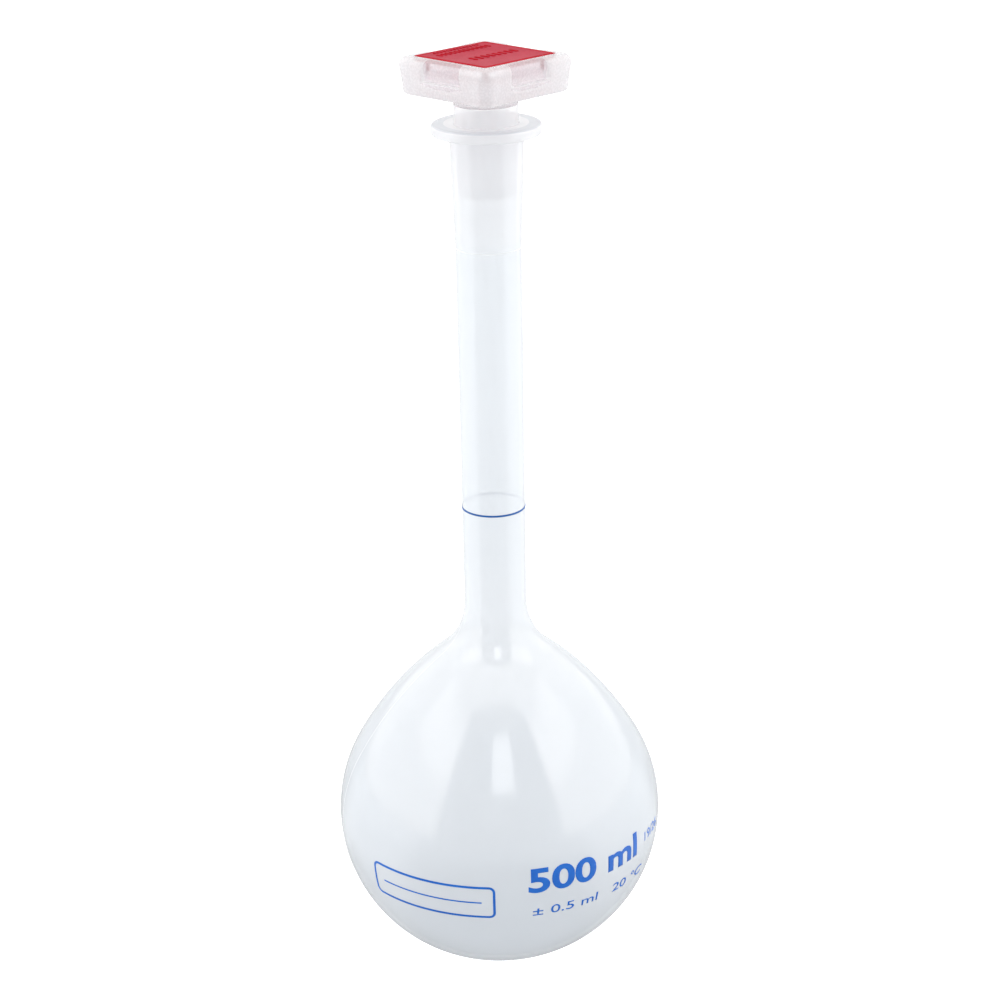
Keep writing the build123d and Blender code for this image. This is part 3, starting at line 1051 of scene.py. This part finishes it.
def grip_rings():
    """The grip's rings: up the outside from the boss, over the rim, down the recess, pocket and bore."""
    seam = SEAM + 0.08 * MM
    rings = [
        (round_ring(BOSS_RADIUS - 0.15 * MM), seam),
        (round_ring(BOSS_RADIUS), seam + 0.15 * MM),
        (round_ring(BOSS_RADIUS), HEAD_BOTTOM - 0.5 * MM),
        (round_ring(BOSS_RADIUS + 0.12 * MM), HEAD_BOTTOM - 0.12 * MM),
        (round_ring(BOSS_RADIUS + 0.5 * MM), HEAD_BOTTOM),
    ]
    for radius, height in arc((0, 0), BOTTOM_ROUNDING, -pi / 2, 0, 6):
        z = HEAD_BOTTOM + BOTTOM_ROUNDING + height
        half = head_half(z) - BOTTOM_ROUNDING + radius
        rings.append((square_ring(half, HEAD_CORNER, SIDE_BOW), z))
    low, high = HEAD_BOTTOM + BOTTOM_ROUNDING, HEAD_TOP - TOP_ROUNDING
    for step in range(1, HEAD_ROWS):
        z = low + (high - low) * step / HEAD_ROWS
        rings.append((head_side_ring(z, head_half(z), HEAD_CORNER), z))
    for radius, height in arc((0, 0), TOP_ROUNDING, 0, pi / 2, 12):
        z = high + height
        inset = TOP_ROUNDING - radius
        rings.append((head_side_ring(z, head_half(z) - inset, max(HEAD_CORNER - 0.6 * inset, 1.5 * MM)), z))
    recess = PLATE_HALF + 0.08 * MM
    rings += [
        (square_ring(recess + 0.12 * MM, 0.98 * MM), HEAD_TOP),
        (square_ring(recess, 0.88 * MM), HEAD_TOP - 0.12 * MM),
        (square_ring(recess, 0.88 * MM), PLATE_SEAT),
        (square_ring(POCKET_HALF, 1.5 * MM), PLATE_SEAT),
        (square_ring(POCKET_HALF, 1.5 * MM), POCKET_FLOOR),
        (round_ring(SPIGOT_INNER), POCKET_FLOOR),
        (round_ring(SPIGOT_INNER), SPIGOT_TOP + 0.08 * MM),
        (round_ring(SPIGOT_RADIUS + 0.08 * MM), SPIGOT_TOP + 0.08 * MM),
        (round_ring(SPIGOT_RADIUS + 0.08 * MM), seam),
    ]
    return rings


grip = new_piece("grip_head", stacked(grip_rings()), [grip_plastic, grip_inside_painted_pink, grip_painted_dents])
grip.data.set_sharp_from_angle(angle=radians(60))
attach(grip, "grip")
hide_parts("stopper_grip")


# ---------------------------------------------------------------- plate
def capped(rings, bm, material_of):
    """A closed stack of rings in the head's own square with a flat face at each end."""
    loops = []
    for points, height in rings:
        loops.append([bm.verts.new((*square_turn(x, y), height)) for x, y in points])
    count = len(loops[0])
    for row, (low, high) in enumerate(zip(loops, loops[1:])):
        for i in range(count):
            j = (i + 1) % count
            bm.faces.new((low[i], low[j], high[j], high[i])).material_index = material_of(row)
    bm.faces.new(list(reversed(loops[0]))).material_index = material_of(0)
    bm.faces.new(loops[-1]).material_index = material_of(len(loops))


def add_rib(bm, x, y, width, length):
    """A small box with rounded corners and a softened top, standing on the plate."""
    edge = 0.1 * MM
    low = PLATE_TOP - 0.2 * MM
    high = RIB_TOP
    rings = []
    for inset, height in ((0, low), (0, high - edge), (0.3 * edge, high - 0.3 * edge), (edge, high)):
        box = rounded_box(
            (x - width / 2 + inset, y - length / 2 + inset),
            (x + width / 2 - inset, y + length / 2 - inset),
            corner=0.2 * MM,
            steps=3,
        )
        rings.append((box, height))
    capped(rings, bm, lambda row: 0)


def plate_mesh():
    """The square plate with its border, the rows of ribs on it and the four snap legs under it."""
    bm = bmesh.new()
    edge = 0.25 * MM
    rings = [(square_ring(PLATE_HALF - 0.1 * MM, 0.7 * MM), PLATE_SEAT)]
    rings.append((square_ring(PLATE_HALF, 0.8 * MM), PLATE_SEAT + 0.1 * MM))
    for radius, height in arc((0, 0), edge, 0, pi / 2, 4):
        rings.append((square_ring(PLATE_HALF - edge + radius, 0.8 * MM), PLATE_TOP - edge + height))
    border_rows = len(rings)
    rings.append((square_ring(PLATE_HALF - BORDER, 0.6 * MM), PLATE_TOP))
    rings.append((square_ring(PLATE_HALF - BORDER - 0.15 * MM, 0.6 * MM), PLATE_TOP - 0.06 * MM))
    capped(rings, bm, lambda row: 1 if row >= border_rows else 0)
    for count, pitch, width, length, x, y in RIB_ROWS:
        for k in range(count):
            middle = x + (k - (count - 1) / 2) * pitch
            add_rib(bm, middle, y, width, length)
    for quarter in range(4):
        angle = pi / 4 + quarter * pi / 2
        near, far = LEG_REACH - LEG_THICKNESS / 2, LEG_REACH + LEG_THICKNESS / 2
        leg = [(near, -LEG_WIDTH / 2), (far, -LEG_WIDTH / 2), (far, LEG_WIDTH / 2), (near, LEG_WIDTH / 2)]
        points = [(x * cos(angle) - y * sin(angle), x * sin(angle) + y * cos(angle)) for x, y in leg]
        capped([(points, PLATE_SEAT - LEG_LENGTH), (points, PLATE_SEAT + 0.3 * MM)], bm, lambda row: 0)
    return bm


plate = new_piece("grip_plate", plate_mesh(), [plate_deep_red, plate_red])
plate.data.set_sharp_from_angle(angle=radians(40))
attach(plate, "grip")
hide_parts("stopper_plate")

# ---------------------------------------------------------------- floor, light and camera
scene = bpy.context.scene


def stage_floor():
    """A plain pale floor that the camera sees as even white. To all other rays it glows as painted light,
    dimmer near the flask as a painted shadow and brighter beside and far from it.
    """
    bm = bmesh.new()
    half = FLOOR_HALF
    corners = ((-half, -half), (half, -half), (half, half), (-half, half))
    bm.faces.new([bm.verts.new((x, y, -FLOOR_DROP)) for x, y in corners])
    material = bpy.data.materials.new("pale_floor")
    material.use_nodes = True
    tree = material.node_tree
    tree.nodes.clear()
    diffuse = node(tree, "ShaderNodeBsdfDiffuse", Color=(0.85, 0.86, 0.87, 1))
    place = node(tree, "ShaderNodeNewGeometry")
    x, y = separated(tree, place.outputs["Position"])[:2]
    squares = maths(tree, "ADD", maths(tree, "MULTIPLY", x, x), maths(tree, "MULTIPLY", y, y))
    distance = maths(tree, "SQRT", squares)
    # painted shadow: the glow is dimmer near the flask's foot than far from it
    far = smooth_step(tree, distance, 0.06, 0.42)
    reach = maths(tree, "ADD", distance, MM)
    sideways = maths(tree, "DIVIDE", maths(tree, "ABSOLUTE", x), reach)
    beside = maths(
        tree,
        "MULTIPLY",
        smooth_step(tree, sideways, sin(radians(48)), sin(radians(66))),
        smooth_step(tree, distance, 0.06, 0.12),
    )
    light = maths(tree, "MULTIPLY_ADD", far, FLOOR_FAR - FLOOR_NEAR, FLOOR_NEAR)
    light = maths(tree, "MULTIPLY_ADD", beside, FLOOR_BESIDE, light)
    forward = maths(tree, "DIVIDE", maths(tree, "MULTIPLY", y, -1.0), reach)
    in_front = smooth_step(tree, forward, cos(radians(62)), cos(radians(46)))
    path = node(tree, "ShaderNodeLightPath")
    front_gain = FLOOR_MIRRORED_FRONT - FLOOR_MIRRORED
    gain = maths(tree, "MULTIPLY_ADD", in_front, front_gain, FLOOR_MIRRORED - 1.0)
    mirrored = maths(tree, "MULTIPLY_ADD", path.outputs["Is Glossy Ray"], gain, 1.0)
    light = maths(tree, "MULTIPLY", light, mirrored)
    bounce = node(tree, "ShaderNodeEmission", Color=(0.965, 0.985, 1.0, 1))
    tree.links.new(light, bounce.inputs["Strength"])
    glow = node(tree, "ShaderNodeEmission", Color=(1, 1, 1, 1), Strength=0.72)
    both = node(tree, "ShaderNodeAddShader")
    tree.links.new(diffuse.outputs["BSDF"], both.inputs[0])
    tree.links.new(glow.outputs["Emission"], both.inputs[1])
    choice = node(tree, "ShaderNodeMixShader")
    tree.links.new(path.outputs["Is Camera Ray"], choice.inputs["Fac"])
    tree.links.new(bounce.outputs["Emission"], choice.inputs[1])
    tree.links.new(both.outputs["Shader"], choice.inputs[2])
    output = node(tree, "ShaderNodeOutputMaterial")
    tree.links.new(choice.outputs["Shader"], output.inputs["Surface"])
    return new_piece("studio_floor", bm, [material], smooth=False)


def window(tree, value, bounds):
    """1 while an angle lies between the middle two of four bounds in degrees, 0 beyond the outer two."""
    start, full, fading, gone = [radians(bound) for bound in bounds]
    return maths(
        tree,
        "MULTIPLY",
        smooth_step(tree, value, start, full),
        smooth_step(tree, value, gone, fading),
    )


def studio_world():
    """White to the camera. A pale room with softboxes beside, in front and overhead lights the rest."""
    world = bpy.data.worlds.new("studio")
    scene.world = world
    world.use_nodes = True
    tree = world.node_tree
    tree.nodes.clear()
    coordinates = node(tree, "ShaderNodeTexCoord")
    x, y, z = separated(tree, coordinates.outputs["Generated"])
    azimuth = maths(tree, "ARCTAN2", x, maths(tree, "MULTIPLY", y, -1.0))
    away = maths(tree, "ABSOLUTE", azimuth)
    elevation = maths(tree, "ARCSINE", z)
    across = maths(tree, "ABSOLUTE", maths(tree, "SUBTRACT", azimuth, radians(FRONT_BOX_MIDDLE)))
    low_boxes = maths(
        tree,
        "MULTIPLY",
        window(tree, away, LOW_BOX_AZIMUTH),
        window(tree, elevation, LOW_BOX_ELEVATION),
    )
    high_boxes = maths(
        tree,
        "MULTIPLY",
        window(tree, away, HIGH_BOX_AZIMUTH),
        window(tree, elevation, HIGH_BOX_ELEVATION),
    )
    front = maths(
        tree,
        "MULTIPLY",
        smooth_step(tree, across, radians(FRONT_BOX_REACH), radians(FRONT_BOX_HALF)),
        window(tree, elevation, FRONT_BOX_ELEVATION),
    )
    overhead = maths(
        tree,
        "MULTIPLY",
        smooth_step(tree, elevation, radians(54), radians(62)),
        smooth_step(tree, y, -0.46, -0.37),
    )
    behind = smooth_step(tree, away, radians(142), radians(158))
    path = node(tree, "ShaderNodeLightPath")
    mirrored = maths(tree, "MULTIPLY_ADD", path.outputs["Is Glossy Ray"], MIRRORED - 1.0, 1.0)
    boxes = maths(tree, "MULTIPLY", low_boxes, SIDE_LIGHT)
    boxes = maths(tree, "MULTIPLY_ADD", high_boxes, HIGH_SIDE_LIGHT, boxes)
    boxes = maths(tree, "MULTIPLY_ADD", overhead, TOP_LIGHT, boxes)
    room = maths(tree, "MULTIPLY_ADD", front, FRONT_LIGHT, ROOM_LIGHT)
    room = maths(tree, "MULTIPLY_ADD", behind, BACK_LIGHT, room)
    boxes = maths(tree, "MULTIPLY", boxes, mirrored)
    soft = node(tree, "ShaderNodeBackground", Color=(0.985, 0.992, 1.0, 1))
    tree.links.new(room, soft.inputs["Strength"])
    warm = node(tree, "ShaderNodeBackground", Color=(1.0, 0.965, 0.925, 1))
    tree.links.new(boxes, warm.inputs["Strength"])
    lit = node(tree, "ShaderNodeAddShader")
    tree.links.new(soft.outputs[0], lit.inputs[0])
    tree.links.new(warm.outputs[0], lit.inputs[1])
    white = node(tree, "ShaderNodeBackground", Color=(1, 1, 1, 1), Strength=1.0)
    choice = node(tree, "ShaderNodeMixShader")
    tree.links.new(path.outputs["Is Camera Ray"], choice.inputs["Fac"])
    tree.links.new(lit.outputs[0], choice.inputs[1])
    tree.links.new(white.outputs[0], choice.inputs[2])
    output = node(tree, "ShaderNodeOutputWorld")
    tree.links.new(choice.outputs["Shader"], output.inputs["Surface"])


stage_floor()
studio_world()

camera = bpy.data.cameras.new("camera")
camera.lens = LENS
camera.sensor_width = 36.0
camera.clip_start = 0.01
camera_object = bpy.data.objects.new("camera", camera)
pan = Matrix.Rotation(CAMERA_PAN, 4, "Z")
tilt = Matrix.Rotation(pi / 2 - CAMERA_DOWN, 4, "X")
roll = Matrix.Rotation(CAMERA_ROLL, 4, "Z")
camera_object.matrix_world = Matrix.Translation(CAMERA_PLACE) @ pan @ tilt @ roll
scene.collection.objects.link(camera_object)
scene.camera = camera_object

scene.view_settings.view_transform = "Standard"
scene.cycles.use_denoising = True
scene.cycles.transparent_max_bounces = 48
scene.cycles.max_bounces = 32
scene.cycles.diffuse_bounces = 24
scene.cycles.glossy_bounces = 6
scene.cycles.transmission_bounces = 24
